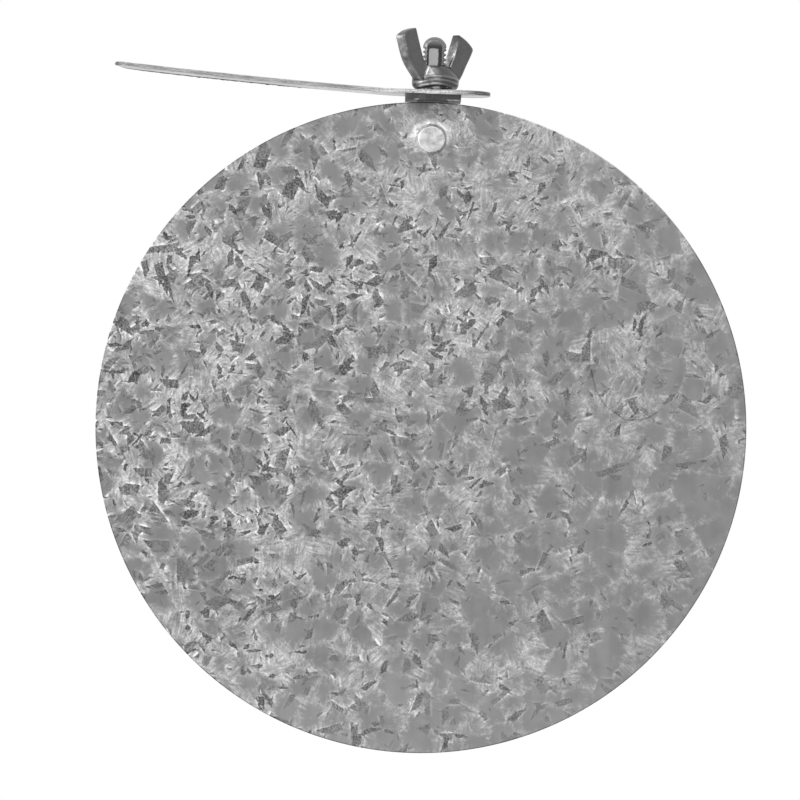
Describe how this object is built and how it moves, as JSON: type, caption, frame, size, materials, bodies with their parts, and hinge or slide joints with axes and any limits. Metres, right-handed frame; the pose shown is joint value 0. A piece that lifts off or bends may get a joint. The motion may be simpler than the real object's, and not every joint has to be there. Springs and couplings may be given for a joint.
{
  "type": "stove pipe damper",
  "caption": "Round galvanised damper blade riveted to a threaded stud, with a strip lever keyed on the stud and clamped by a wing nut, for throttling a stove pipe",
  "frame": {"origin": "on the stud's axis, on the face of the shoulder plate that bears on the pipe's inside wall", "axes": "+Z out along the stud, X across the blade with the long end of the lever towards -X, -Y out of the face with the rivet's flat head"},
  "size_m": [0.1714, 0.0301, 0.1905],
  "materials": {
    "galvanised_sheet": "galvanised with a coarse spangle",
    "dark_steel": "dull zinc plate",
    "black_steel": "dark mill scale",
    "tinned_rivet": "dull tinned",
    "galvanised_strip": "galvanised, sheared edges",
    "plated_nut": "dull plate over a forged skin"
  },
  "bodies": {
    "damper": {"blade": "galvanised_sheet", "stud": "dark_steel", "shoulder_plate": "black_steel", "rivet": "tinned_rivet"},
    "lever": {"lever": "galvanised_strip"},
    "wing_nut": {"wing_nut": "plated_nut"}
  },
  "joints": [
    {"name": "lever_lift", "type": "slide", "parent": "damper", "child": "lever", "axis": [0, 0, 1], "range_m": [0, 0.0064]},
    {"name": "nut_turn", "type": "hinge", "parent": "lever", "child": "wing_nut", "pos_m": [0, 0, 0.0012], "axis": [0, 0, 1], "range_deg": [0, 1800]}
  ],
  "couplings": [
    {"joint": "lever_lift", "follows": "nut_turn", "m_per_rad": 0.00020213}
  ]
}
